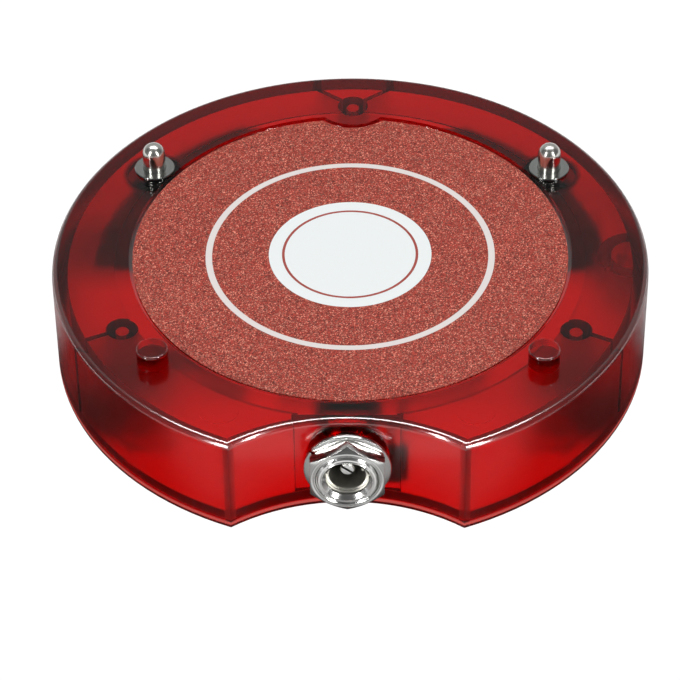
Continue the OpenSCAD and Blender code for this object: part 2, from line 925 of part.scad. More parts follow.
module lock_washer() {
    split_w = 0.5;
    split_turn = 148;
    color("silver")
        toward_front(washer_back_y)
            difference() {
                cylinder(d = washer_d, h = washer_t, $fn = 96);
                translate([0, 0, -1])
                    cylinder(d = thread_d + 0.2, h = washer_t + 2, $fn = 96);
                rotate([0, 0, split_turn])
                    translate([thread_d / 2 - 0.5, 0, washer_t / 2])
                        rotate([25, 0, 0])
                            translate([0, -split_w / 2, -washer_t])
                                cube([washer_d, split_w, 2 * washer_t]);
            }
}

module socket_nut() {
    chamfer = 0.5;
    color("silver")
        toward_front(nut_back_y)
            difference() {
                intersection() {
                    rotate([0, 0, 30])
                        cylinder(d = nut_af / cos(30), h = nut_t, $fn = 6);
                    union() {
                        cylinder(d = 2 * nut_af, h = nut_t - chamfer, $fn = 96);
                        translate([0, 0, nut_t - chamfer])
                            cylinder(d1 = nut_af + 3 * chamfer, d2 = nut_af - chamfer, h = chamfer, $fn = 96);
                    }
                }
                translate([0, 0, -1])
                    cylinder(d = thread_d + 0.1, h = nut_t + 2);
            }
}

// Circuit board

module main_board() {
    color("darkgreen")
        translate([0, 0, board_z])
            difference() {
                intersection() {
                    cylinder(r = board_r, h = board_t, $fn = case_fn);
                    translate([-case_r, board_front, 0])
                        cube([case_d, board_back - board_front, board_t]);
                }
                pair(pin_x, pin_y, -1)
                    cylinder(d = barrel_d + 2 * barrel_fit, h = board_t + 2);
                pair(board_screw_x, board_screw_y, -1)
                    cylinder(d = board_screw_d + 0.8, h = board_t + 2);
                rotate([0, 0, key_angle])
                    translate([inner_r, 0, -1])
                        cylinder(r = collar_r + 0.5, h = board_t + 2);
            }
}

module board_screws() {
    color("silver")
        pair(board_screw_x, board_screw_y, board_z) {
            translate([0, 0, -board_head_h])
                cylinder(d = board_head_d, h = board_head_h, $fn = 32);
            translate([0, 0, -eps])
                cylinder(d = board_screw_d, h = board_t + board_screw_grip, $fn = 32);
        }
}

// Flat package under the board, with a row of legs on two sides
module chip(w, l, h, legs, place) {
    leg_w = 0.4;
    leg_out = 0.9;
    pitch = w / (legs + 1);
    translate([place[0], place[1], board_z - h]) {
        box([w, l, h], [0, 0]);
        for (s = [-1, 1], i = [1:legs])
            translate([i * pitch - w / 2 - leg_w / 2, s > 0 ? l / 2 - eps : -l / 2 - leg_out + eps, h - 0.5])
                cube([leg_w, leg_out, 0.5]);
    }
}

module controller_chip() {
    color("dimgray")
        chip(controller_w, controller_l, chip_h, 9, controller_place);
}

module receiver_module() {
    color("dimgray")
        chip(receiver_w, receiver_l, chip_h, 8, receiver_place);
}

module crystal_can() {
    color("silver")
        translate([crystal_place[0], crystal_place[1], board_z - crystal_h])
            union() {
                for (s = [-1, 1])
                    translate([s * (crystal_l - crystal_w) / 2, 0, 0])
                        cylinder(d = crystal_w, h = crystal_h, $fn = 32);
                box([crystal_l - crystal_w, crystal_w, crystal_h], [0, 0]);
            }
}

antenna_turns = 7;
antenna_path = concat(
    [[antenna_r, 0, -antenna_wire]],
    coil(antenna_r, 0, antenna_len, antenna_turns),
    [[antenna_r, 0, antenna_len + antenna_wire]]
);

// Helical antenna that lies along X under the board, with a foot at each end
module antenna_coil() {
    echo(antenna_least_gap = least_gap(antenna_path, antenna_wire, 6));
    stand_off = 0.4;
    color("peru")
        translate([antenna_start[0], antenna_start[1], board_z - antenna_r - antenna_wire / 2 - stand_off]) {
            rotate([0, 90, 0])
                rotate([0, 0, 180])
                    tube(antenna_path, antenna_wire, 6);
            for (x = [-2 * antenna_wire, antenna_len + antenna_wire])
                translate([x, -antenna_wire / 2, antenna_r - antenna_wire / 2])
                    cube([antenna_wire, antenna_wire, antenna_wire + stand_off]);
        }
}

module buzzer() {
    color("black")
        translate([buzzer_x, buzzer_y, board_z - buzzer_h])
            difference() {
                cylinder(d = buzzer_d, h = buzzer_h);
                translate([0, 0, -1])
                    cylinder(r = buzzer_port_r, h = 1 + buzzer_port_depth, $fn = 32);
            }
}

// Three lamps on each side of the board, facing the rim
module rim_leds() {
    color("white")
        for (s = [-1, 1], a = lamp_angles)
            rotate([0, 0, s > 0 ? a : 180 - a])
                translate([board_r - lamp_in, 0, board_z - lamp_h]) {
                    translate([-lamp_l, -lamp_w / 2, 0])
                        cube([lamp_l, lamp_w, lamp_h]);
                    translate([-eps, 0, lamp_h / 2])
                        rotate([0, 90, 0])
                            cylinder(d = lens_d, h = lens_out, $fn = 32);
                }
}

module battery_plug() {
    color("ivory")
        translate([0, 0, board_z - plug_h])
            box([plug_w, plug_l, plug_h], [plug_x, plug_y + plug_l / 2]);
}

// Battery, motor and switch

module battery() {
    seal = 1;
    color("lightslategray")
        translate([0, 0, battery_z]) {
            box([battery_w - 2 * seal, battery_l, battery_h], [battery_x, battery_back_y - battery_l / 2]);
            translate([0, 0, battery_h / 2 - 0.5])
                box([battery_w, battery_l - 1, 1], [battery_x, battery_back_y - battery_l / 2]);
        }
}

module battery_tape() {
    color("white")
        translate([0, 0, cover_t])
            box([battery_w - 6, battery_l - 6, tape_t], [battery_x, battery_back_y - battery_l / 2]);
}

// Frame at the end of the motor that the shaft leaves, with +Z along the shaft
module at_motor() {
    translate([motor_x - motor_len, motor_y, motor_z])
        rotate([0, -90, 0])
            children();
}

module motor_case() {
    nose = 0.6;
    color("silver")
        at_motor()
            difference() {
                union() {
                    translate([0, 0, -motor_len])
                        cylinder(d = motor_d, h = motor_len);
                    cylinder(d = 2.6, h = nose);
                }
                translate([0, 0, -3])
                    cylinder(d = shaft_d + 2 * shaft_gap, h = 3 + nose + 1, $fn = 32);
            }
}

module motor_shaft() {
    color("gainsboro")
        at_motor()
            translate([0, 0, -2.8])
                cylinder(d = shaft_d, h = 2.8 + weight_gap + weight_len + 0.3, $fn = 32);
}

// Half-round weight, hanging below the shaft
module motor_weight() {
    hub_r = 1.4;
    color("darkgoldenrod")
        at_motor()
            translate([0, 0, weight_gap])
                difference() {
                    union() {
                        cylinder(r = hub_r, h = weight_len);
                        intersection() {
                            cylinder(r = weight_r, h = weight_len);
                            translate([-weight_r - 1, -weight_r - 1, 0])
                                cube([weight_r + 1, 2 * weight_r + 2, weight_len]);
                        }
                    }
                    translate([0, 0, -1])
                        cylinder(d = shaft_d, h = weight_len + 2, $fn = 32);
                }
}

module switch_frame() {
    shell_t = 0.4;
    middle = [switch_x + switch_travel / 2, switch_y];
    color("silver")
        difference() {
            union() {
                translate([0, 0, cover_t])
                    box([switch_l, switch_w, switch_h], middle);
                for (i = [-1, 0, 1])
                    translate([0, 0, cover_t + switch_h - eps])
                        box([0.5, 0.5, 1.2], [middle[0] + i * 2.5, switch_y]);
            }
            translate([0, 0, cover_t - 1])
                box([switch_l - 2 * shell_t, switch_w - 2 * shell_t, slider_t + 2 * slide_gap + 1], middle);
        }
}

// The knob stands in a sunk slot, clear of the surface that the pager lies on
module switch_slider() {
    knob_foot = 0.3;
    color("black")
        union() {
            translate([0, 0, cover_t + slide_gap])
                box([slider_l, slider_w, slider_t], [switch_x, switch_y]);
            translate([0, 0, knob_foot])
                box([knob_l, knob_w, cover_t + slide_gap - knob_foot + eps], [switch_x, switch_y]);
        }
}

// Wires, each along points chosen by hand between the faces that it joins. The battery's wires
// are laid out from the middle of the battery, and the motor's from the motor's end. The
// socket's wires run beside the battery's plug.

battery_exit = battery_z + battery_h / 2;
battery_end = -battery_w / 2;
plug_face = -plug_w / 2;
battery_red = [
    [battery_end, -3, battery_exit], [battery_end - 1.2, -3, battery_exit], [-18.2, -1.5, 7.5],
    [-16, 2.5, 10.3], [-12, 5.5, 10.7], [-6, 5.7, 10.6],
    [plug_face - 1.2, 5.7, board_z - 2.5], [plug_face, 5.7, board_z - 2.5]
];
battery_black = [
    [battery_end, -6, battery_exit], [battery_end - 1.2, -6, battery_exit], [-18.6, -4, 8.6],
    [-17.6, 3, 11.2], [-13, 7.2, 11.4], [-6, 7.7, 10.9],
    [plug_face - 1.2, 7.7, board_z - 2.2], [plug_face, 7.7, board_z - 2.2]
];
socket_tail_y = insulator_end_y + pin_tail;
side_exit_y = socket_back_y + side_box_len;
minus_run_x = socket_run_x + 2.1;
socket_plus = [
    [0, socket_tail_y, socket_z], [0, socket_tail_y + 1.2, socket_z], [3, -22.6, 9.9],
    [socket_run_x - 1.5, -18, 10.3], [socket_run_x, -8, 10.4], [socket_run_x, 2, 10.6],
    [socket_run_x, 5, 11.4], [socket_run_x, 5.4, board_z - 1.2], [socket_run_x, 5.4, board_z]
];
socket_minus = [
    [8.2, side_exit_y, 6.5], [8.2, side_exit_y + 1.2, 6.5], [9.5, -25.6, 8.4],
    [minus_run_x - 1.2, -19, 10.2], [minus_run_x, -8, 10.4], [minus_run_x, 2, 10.6],
    [minus_run_x, 5, 11.4], [minus_run_x, 5.4, board_z - 1.2], [minus_run_x, 5.4, board_z]
];
motor_red = [
    [0, motor_y + 1.4, motor_z], [1.2, motor_y + 1.4, motor_z], [2.3, -11.6, 8.2],
    [1.4, -6, 10], [1.2, 0, 10.6], [1.2, 3.6, 11.4], [1.2, 4, board_z - 1.2], [1.2, 4, board_z]
];
motor_black = [
    [0, motor_y - 1.4, motor_z], [1.2, motor_y - 1.4, motor_z], [2.6, -14.4, 9.4],
    [-0.6, -8, 10.6], [-1.2, 0, 10.9], [-1.2, 3.6, 11.4], [-1.2, 4, board_z - 1.2], [-1.2, 4, board_z]
];

module wire_pair(red, black, side = [0, 0, 1]) {
    color("crimson")
        tube(route(red), wire_d, 8, side);
    color("darkslategray")
        tube(route(black), wire_d, 8, side);
}

module battery_wires() {
    translate([battery_x, 0, 0])
        wire_pair(battery_red, battery_black);
}

module socket_wires() {
    wire_pair(socket_plus, socket_minus);
}

module motor_wires() {
    translate([motor_x, 0, 0])
        wire_pair(motor_red, motor_black);
}

module contact_wires() {
    foot_z = contact_depth + contact_tab_h;
    lean = 0.8;
    path = [
        [contact_tab_out, 0, foot_z], [contact_tab_out, 0, foot_z + wire_d],
        [contact_tab_out + lean, lean, (foot_z + board_z) / 2],
        [contact_tab_out + lean, 0, board_z - wire_d], [contact_tab_out + lean, 0, board_z]
    ];
    color("crimson")
        for (s = [-1, 1])
            at_contact(s)
                tube(route(path), wire_d, 8);
}

module switch_wires() {
    pin_top = cover_t + switch_h + 1.2 - eps;
    middle = switch_x + switch_travel / 2;
    color("crimson")
        for (i = [-1, 0])
            tube(
                route([
                    [middle + i * 2.5, switch_y, pin_top], [middle + i * 2.5, switch_y, pin_top + wire_d],
                    [middle + i * 3, switch_y + 1, (pin_top + board_z) / 2],
                    [middle + i * 3, switch_y, board_z - wire_d], [middle + i * 3, switch_y, board_z]
                ]),
                wire_d, 8
            );
}

top_shell();
bottom_cover();
case_screws();
label_film();
charge_pin(-1);  // charge_pin_left
charge_pin(1);  // charge_pin_right
pin_barrel(-1);  // pin_barrel_left
pin_barrel(1);  // pin_barrel_right
pin_spring(-1);  // pin_spring_left
pin_spring(1);  // pin_spring_right
pin_nut(-1);  // pin_nut_left
pin_nut(1);  // pin_nut_right
contact_plate(-1);  // contact_plate_left
contact_plate(1);  // contact_plate_right
socket_barrel();
socket_insulator();
socket_center_pin();
socket_contact();
lock_washer();
socket_nut();
main_board();
board_screws();
controller_chip();
receiver_module();
crystal_can();
antenna_coil();
buzzer();
rim_leds();
battery_plug();
battery();
battery_tape();
motor_case();
motor_shaft();
motor_weight();
switch_frame();
switch_slider();
battery_wires();
socket_wires();
motor_wires();
contact_wires();
switch_wires();
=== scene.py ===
import math

import bpy
from mathutils import Matrix, Vector


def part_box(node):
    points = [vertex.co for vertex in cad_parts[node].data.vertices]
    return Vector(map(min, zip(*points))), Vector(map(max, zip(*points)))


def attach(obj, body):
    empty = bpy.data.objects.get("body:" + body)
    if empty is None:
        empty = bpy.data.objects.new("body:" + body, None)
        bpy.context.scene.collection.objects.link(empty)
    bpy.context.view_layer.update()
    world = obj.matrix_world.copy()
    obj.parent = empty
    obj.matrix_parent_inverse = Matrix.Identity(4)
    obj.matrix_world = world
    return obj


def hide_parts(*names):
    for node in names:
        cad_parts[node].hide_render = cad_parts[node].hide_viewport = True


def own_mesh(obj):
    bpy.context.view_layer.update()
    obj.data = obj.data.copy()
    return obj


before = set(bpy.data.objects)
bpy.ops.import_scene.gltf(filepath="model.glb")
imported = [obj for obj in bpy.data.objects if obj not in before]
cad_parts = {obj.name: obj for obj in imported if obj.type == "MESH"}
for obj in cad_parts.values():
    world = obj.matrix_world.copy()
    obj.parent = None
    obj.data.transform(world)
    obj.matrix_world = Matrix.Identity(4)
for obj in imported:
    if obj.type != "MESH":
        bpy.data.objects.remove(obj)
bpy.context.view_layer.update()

# Camera
# It stands in front of the pager, a little to its right, and looks down on it through a long lens.
# It aims at the level of the top face, in front of the middle.
MM = 0.001
camera_aim = Vector((-1.393, -21.175, 18.4)) * MM
camera_distance = 535.73 * MM
camera_turn = math.radians(1.295)
camera_down = math.radians(41.613)
camera_roll = math.radians(-0.759)
lens_length = 174.04
sensor_width = 36
near_clip = 0.01

camera_data = bpy.data.cameras.new("camera")
camera_data.lens = lens_length
camera_data.sensor_width = sensor_width
camera_data.clip_start = near_clip
camera = bpy.data.objects.new("camera", camera_data)
bpy.context.scene.collection.objects.link(camera)
facing = (
    Matrix.Rotation(camera_turn, 4, "Z")
    @ Matrix.Rotation(math.pi / 2 - camera_down, 4, "X")
    @ Matrix.Rotation(camera_roll, 4, "Z")
)
camera.matrix_world = Matrix.Translation(camera_aim + facing.col[2].xyz * camera_distance) @ facing
bpy.context.scene.camera = camera

# Lamps and the room
# Two tall, narrow soft boxes stand in front of the pager, left and right, and a wide one hangs over
# it. The room round them is dim, and lighter at its back wall and from below. The camera sees it
# white.
lamp_range = 1.0
lamp_turn = math.radians(44)
lamp_lift = math.radians(27)
side_lamp_size = (0.1, 0.7)
side_lamp_watts = 3.4
top_lamp_toward = (0, 0.24, 1)
top_lamp_size = (1.1, 0.2)
top_lamp_watts = 6.4
room_dim = 0.1
room_back = 0.38
back_wall_from = (0.15, 0.65)
room_below = 0.6
horizon = (-0.1, 0.0)


def soft_box(name, direction, size, watts):
    lamp = bpy.data.lights.new(name, "AREA")
    lamp.shape = "RECTANGLE"
    lamp.size, lamp.size_y = size
    lamp.energy = watts
    holder = bpy.data.objects.new(name, lamp)
    bpy.context.scene.collection.objects.link(holder)
    holder.location = Vector(direction).normalized() * lamp_range
    holder.rotation_euler = (-Vector(direction)).to_track_quat("-Z", "Y").to_euler()


for name, side in (("left_lamp", -1), ("right_lamp", 1)):
    along = (side * math.sin(lamp_turn), -math.cos(lamp_turn), math.tan(lamp_lift))
    soft_box(name, along, side_lamp_size, side_lamp_watts)
soft_box("top_lamp", top_lamp_toward, top_lamp_size, top_lamp_watts)


def put(tree, kind, options=None, inputs=None):
    node = tree.nodes.new("ShaderNode" + kind)
    for name, value in (options or {}).items():
        setattr(node, name, value)
    for socket, value in (inputs or {}).items():
        if isinstance(value, bpy.types.NodeSocket):
            tree.links.new(value, node.inputs[socket])
        else:
            node.inputs[socket].default_value = value
    return node


def worked(tree, operation, *values):
    node = put(tree, "Math", {"operation": operation}, dict(enumerate(values)))
    return node.outputs[0]


def ramped(tree, value, start, end, low=0.0, high=1.0):
    sizes = {"Value": value, "From Min": start, "From Max": end, "To Min": low, "To Max": high}
    return put(tree, "MapRange", {"interpolation_type": "SMOOTHSTEP"}, sizes).outputs["Result"]


def blended(tree, share, first, second):
    node = put(tree, "Mix", {"data_type": "RGBA"}, {"Factor": share})
    for socket, value in ((node.inputs[6], first), (node.inputs[7], second)):
        if isinstance(value, bpy.types.NodeSocket):
            tree.links.new(value, socket)
        else:
            socket.default_value = value
    return node.outputs[2]


room = bpy.data.worlds.new("room")
room.use_nodes = True
tree = room.node_tree
backdrop = tree.nodes["Background"]
backdrop.inputs["Color"].default_value = (1, 1, 1, 1)
toward = put(tree, "SeparateXYZ", inputs={0: put(tree, "TexCoord").outputs["Generated"]}).outputs
strength = ramped(tree, toward["Y"], *back_wall_from, room_dim, room_back)
strength = ramped(tree, toward["Z"], *horizon, room_below, strength)
strength = worked(tree, "MAXIMUM", strength, put(tree, "LightPath").outputs["Is Camera Ray"])
tree.links.new(strength, backdrop.inputs["Strength"])
bpy.context.scene.world = room
bpy.context.scene.view_settings.view_transform = "Standard"

# Floor
# A sheet of paper that the pager stands on. It is seen as pure white. Light that has passed through
# the plastic finds it white, with painted shadows round the foot and the notch and under the two front
# screw bosses, and painted brighter towards the front. Mirrored, it is white past the pager's shadow,
# with a painted bright patch under the nut; nearer, its matte colour is painted dim beside the pager
# and lighter in front and behind. From below it is clear, so that the underside can be looked at.
sheet_size = 6
sheet_gap = 0.03 * MM
case_round = 50 * MM
notch_middle = (0, -72.9 * MM, 0)
notch_radius = 32.5 * MM
foot_shadow = (0.8 * MM, 3 * MM)
notch_shadow = (0.5 * MM, 3 * MM)
outer_shadow = (2 * MM, 9 * MM)
shadow_depth = 0.12
boss_shadow_at = (37 * MM, -17 * MM, 0)
boss_shadow = (5 * MM, 11.5 * MM)
boss_shadow_depth = 0.04
shadow_edge = (70 * MM, 200 * MM)
nut_mirror = (0, -59 * MM, 0)
nut_mirror_edge = (9 * MM, 5 * MM)
nut_mirror_light = 0.8
front_light = (-40 * MM, -52 * MM)
back_light = (-8 * MM, 6 * MM)
# Painted shade and light in the paper's matte colour
paper_painted_dim = (0.07, 0.07, 0.07, 1)
paper_painted_front_light = (0.36, 0.36, 0.36, 1)
paper_painted_back_light = (0.5, 0.5, 0.5, 1)
front_lift = (-8 * MM, -28 * MM)
back_gain = 1.06
front_gain = 1.34


def reach_of(tree, place):
    return put(tree, "VectorMath", {"operation": "LENGTH"}, {0: place}).outputs["Value"]


def away(tree, place, point):
    return put(tree, "VectorMath", {"operation": "DISTANCE"}, {0: place, 1: point}).outputs["Value"]


def along_axis(tree, place, axis):
    return put(tree, "SeparateXYZ", inputs={0: place}).outputs[axis]


bpy.ops.mesh.primitive_plane_add(size=sheet_size, location=(0, 0, -sheet_gap))
floor = bpy.context.object
floor.name = "floor"
paper = bpy.data.materials.new("paper")
paper.use_nodes = True
tree = paper.node_tree
tree.nodes.clear()
place = put(tree, "TexCoord").outputs["Object"]
depth = along_axis(tree, place, "Y")
reach = reach_of(tree, place)
path = put(tree, "LightPath").outputs
# Painted reflection: a bright patch under the nut, seen only in what is mirrored
under_nut = ramped(tree, away(tree, place, nut_mirror), *nut_mirror_edge, 0.0, nut_mirror_light)
bright = worked(tree, "MAXIMUM", ramped(tree, reach, *shadow_edge), under_nut)
mirrored = worked(tree, "MULTIPLY", path["Is Glossy Ray"], bright)
# Painted shadows round the foot and the notch, inside and outside the case, seen through the plastic
in_round = worked(tree, "SUBTRACT", case_round, reach)
in_notch = worked(tree, "SUBTRACT", away(tree, place, notch_middle), notch_radius)
in_foot = ramped(tree, in_round, *foot_shadow)
under = worked(tree, "MULTIPLY", in_foot, ramped(tree, in_notch, *notch_shadow))
outward = worked(tree, "MULTIPLY", worked(tree, "MINIMUM", in_round, in_notch), -1.0)
open_paper = worked(tree, "MAXIMUM", under, ramped(tree, outward, *outer_shadow))
lit = ramped(tree, open_paper, 0.0, 1.0, shadow_depth, 1.0)
# Painted shadows under the two front screw bosses
folded = put(tree, "VectorMath", {"operation": "ABSOLUTE"}, {0: place}).outputs[0]
half = put(tree, "CombineXYZ", inputs={"X": along_axis(tree, folded, "X"), "Y": depth}).outputs[0]
by_boss = ramped(tree, away(tree, half, boss_shadow_at), *boss_shadow, boss_shadow_depth, 1.0)
lit = worked(tree, "MULTIPLY", lit, by_boss)
passed = worked(tree, "MULTIPLY", path["Is Transmission Ray"], lit)
# Painted light: through the plastic the paper is brighter towards the front
through = worked(tree, "MULTIPLY", depth, path["Is Transmission Ray"])
gain = ramped(tree, through, *front_lift, back_gain, front_gain)
seen = worked(tree, "MAXIMUM", path["Is Camera Ray"], passed)
seen = worked(tree, "MAXIMUM", seen, mirrored)
# Painted shade and light in the matte colour: dim beside the pager, lighter in front and behind
tone = blended(tree, ramped(tree, depth, *front_light), paper_painted_dim, paper_painted_front_light)
tone = blended(tree, ramped(tree, depth, *back_light), tone, paper_painted_back_light)
matte = put(tree, "BsdfDiffuse", inputs={"Color": tone})
white = put(tree, "Emission", inputs={"Strength": gain})
both = put(tree, "MixShader", inputs={0: seen, 1: matte.outputs[0], 2: white.outputs[0]})
clear = put(tree, "BsdfTransparent")
backside = put(tree, "NewGeometry").outputs["Backfacing"]
from_below = worked(tree, "MAXIMUM", backside, path["Transparent Depth"])
sided = put(tree, "MixShader", inputs={0: from_below, 1: both.outputs[0], 2: clear.outputs[0]})
put(tree, "OutputMaterial", inputs={"Surface": sided.outputs[0]})
floor.data.materials.append(paper)

# Top shell
# One injection moulding of clear red plastic: wall, top plate, posts, screw bosses and ribs. Its
# outside is a fine satin and its inside is frosted, so what is deeper in the case shows blurred. No
# light gets to the pieces inside, so their shade is painted into its colour instead: shade at the
# seam, round the board's ends and the pins' bosses, at the foot and on the posts, and a painted glow,
# a pale line at the foot.
wall = 2.6 * MM
skin = 0.2 * MM
shell_low, shell_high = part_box("top_shell")
case_radius = shell_high.x
inner_radius = case_radius - wall
plate_under = 16.4 * MM
shell_round_top = 18.4 * MM
outside_rough = 0.12
rim_rough = 0.22
rim_from = (17.3 * MM, 17.6 * MM)
rim_to = (18.38 * MM, 18.399 * MM)
post_edge_from = (20.8 * MM, 21 * MM)
post_edge_to = (21.37 * MM, 21.395 * MM)
post_rough = 0.04
wall_rough = 0.38
plate_rough = 0.7
corner_rough = 0.5
# The seam, foot, pin boss, board end and post colours below are painted shade; the foot glow is a painted
# glow
seam_low = (0.5 * MM, 0.8 * MM)
seam_high = (2.1 * MM, 2.3 * MM)
seam_painted_shade = (0.6, 0.5, 0.5, 1)
glow_low = (0.75 * MM, 1.05 * MM)
glow_high = (1.3 * MM, 1.7 * MM)
foot_glow = (0.45, 0.075, 0.065, 1)
foot_dark_low = (1.15 * MM, 1.3 * MM)
foot_dark_high = (1.8 * MM, 2.1 * MM)
foot_painted_shade = (0.15, 0.1, 0.1, 1)
pin_boss_at = (34.1 * MM, 23.4 * MM, 0)
pin_boss_shade = (4.9 * MM, 5.9 * MM)
board_end_at = (40 * MM, 3 * MM, 0)
board_end_shade = (4 * MM, 12.5 * MM)
board_end_depth = 0.92
key_clear = (41.5 * MM, 44 * MM)
under_plate = (15 * MM, 16 * MM)
shade_tint = (0.16, 0.13, 0.13, 1)
pin_boss_painted_shade = (0.07, 0.05, 0.05, 1)
post_painted_shade = (0.85, 0.45, 0.45, 1)
corner_at = (18.9 * MM, -44.6 * MM, 0)
corner_edge = (18.75 * MM, -46.35 * MM, 0)
corner_edge_reach = (0.7 * MM, 1.5 * MM)
corner_edge_rough = 0.45
corner_reach = (1.6 * MM, 2.6 * MM)
satin_spread = (-0.03, 0.04)
coat_rough = 0.1
coat_ior = 2.0
plastic_ior = 1.46
plastic_tint = (1, 0.8, 0.8)
plastic_grains = 5000.0
plastic_grain_depth = 0.004 * MM
dye_color = (0.965, 0, 0, 1)
dye_density = 2400.0


def new_group(name, takes, gives):
    tree = bpy.data.node_groups.new(name, "ShaderNodeTree")
    for socket, kind, value in takes:
        made = tree.interface.new_socket(socket, in_out="INPUT", socket_type="NodeSocket" + kind)
        if value is not None:
            made.default_value = value
    for socket, kind in gives:
        tree.interface.new_socket(socket, in_out="OUTPUT", socket_type="NodeSocket" + kind)
    return tree, tree.nodes.new("NodeGroupInput").outputs, tree.nodes.new("NodeGroupOutput").inputs


def use_group(tree, group, **inputs):
    node = tree.nodes.new("ShaderNodeGroup")
    node.node_tree = group
    for socket, value in inputs.items():
        if isinstance(value, bpy.types.NodeSocket):
            tree.links.new(value, node.inputs[socket])
        else:
            node.inputs[socket].default_value = value
    return node.outputs


# 1 on faces inside the case, 0 on its outer skin
inside_group, taken, given = new_group(
    "inside_of_case", [("Place", "Vector", None)], [("Inside", "Float")]
)
axes = put(inside_group, "SeparateXYZ", inputs={0: taken["Place"]}).outputs
flat = put(inside_group, "CombineXYZ", inputs={"X": axes["X"], "Y": axes["Y"]}).outputs[0]
within = worked(inside_group, "LESS_THAN", reach_of(inside_group, flat), inner_radius + skin)
from_notch = away(inside_group, flat, notch_middle)
behind = worked(inside_group, "GREATER_THAN", from_notch, notch_radius + wall - skin)
below = worked(inside_group, "LESS_THAN", axes["Z"], plate_under + skin)
above = worked(inside_group, "GREATER_THAN", axes["Z"], skin)
inside = worked(inside_group, "MULTIPLY", within, behind)
inside = worked(inside_group, "MULTIPLY", inside, worked(inside_group, "MULTIPLY", below, above))
inside_group.links.new(inside, given["Inside"])

# Fine grain and slow clouds, for moulded, printed and rubbed surfaces
cloud_share = 0.03
cloud_middle = (0.3, 0.7)
grain_group, taken, given = new_group(
    "fine_grain",
    [("Place", "Vector", None), ("Grains", "Float", 1000.0)],
    [("Grain", "Float"), ("Cloud", "Float")],
)
sizes = {"Vector": taken["Place"], "Scale": taken["Grains"], "Detail": 3.0, "Roughness": 0.6}
grain_group.links.new(put(grain_group, "TexNoise", inputs=sizes).outputs["Fac"], given["Grain"])
slow = worked(grain_group, "MULTIPLY", taken["Grains"], cloud_share)
sizes = {"Vector": taken["Place"], "Scale": slow, "Detail": 2.0}
grain_group.links.new(put(grain_group, "TexNoise", inputs=sizes).outputs["Fac"], given["Cloud"])


def new_finish(name, color, roughness, metallic=0.0):
    material = bpy.data.materials.new(name)
    material.use_nodes = True
    shader = material.node_tree.nodes["Principled BSDF"]
    shader.inputs["Base Color"].default_value = (*color, 1)
    shader.inputs["Roughness"].default_value = roughness
    shader.inputs["Metallic"].default_value = metallic
    return material, material.node_tree, shader


def raised(tree, shader, height, depth):
    bump = put(tree, "Bump", inputs={"Height": height, "Distance": depth, "Strength": 1.0})
    tree.links.new(bump.outputs["Normal"], shader.inputs["Normal"])


def dress(material, *nodes):
    for node in nodes:
        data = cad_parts[node].data
        data.materials.clear()
        data.materials.append(material)


def banded(tree, value, rise, fall):
    return worked(tree, "MULTIPLY", ramped(tree, value, *rise), ramped(tree, value, *fall, 1.0, 0.0))


